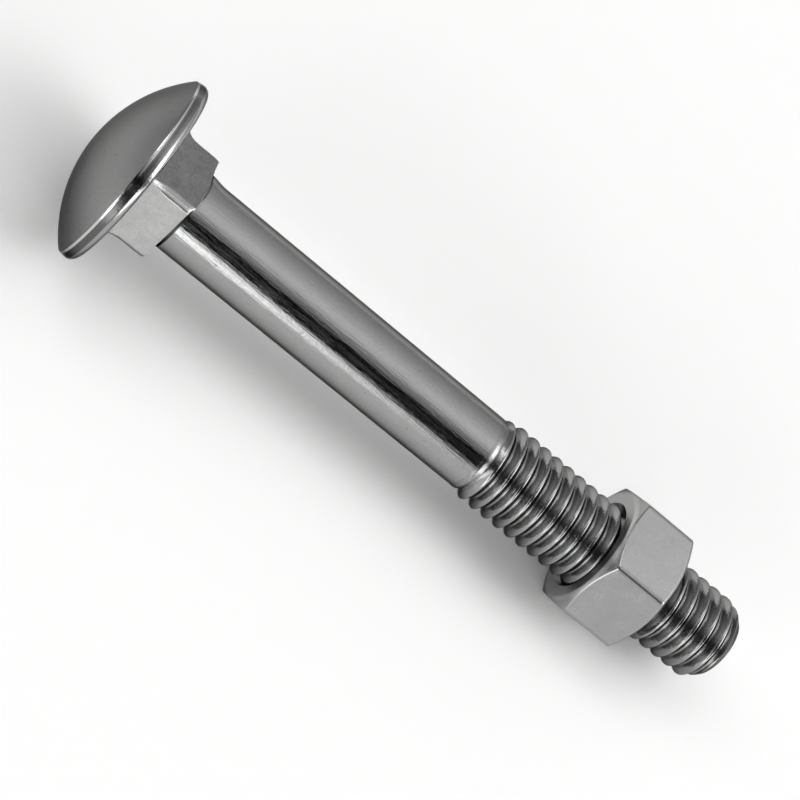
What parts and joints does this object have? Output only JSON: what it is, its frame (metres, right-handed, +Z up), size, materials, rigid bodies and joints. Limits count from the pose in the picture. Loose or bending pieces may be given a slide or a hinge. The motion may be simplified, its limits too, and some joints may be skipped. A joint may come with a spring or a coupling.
{
  "type": "carriage bolt",
  "caption": "Steel carriage bolt lying on its side: domed round head, square neck, plain shank and coarse right-hand thread, with a hex nut threaded part way on.",
  "frame": {"origin": "bottom centre of the whole part's box as it lies on a flat surface", "axes": "+X along the bolt from the head to the tip, dipping 3 degrees towards the tip, +Z up, +Y to the side"},
  "size_m": [0.0816, 0.0206, 0.0206],
  "materials": {
    "bolt_steel": "bright zinc-plated, smooth and reflective, with a satin dome",
    "nut_steel": "zinc-plated, satin flats with bright chamfer edges"
  },
  "bodies": {
    "bolt": {"carriage_bolt": "bolt_steel"},
    "nut": {"hex_nut": "nut_steel"}
  },
  "joints": [
    {"name": "nut_travel", "type": "slide", "parent": "bolt", "child": "nut", "axis": [0.9986, 0, -0.0528], "range_m": [-0.0127, 0.01746]}
  ]
}
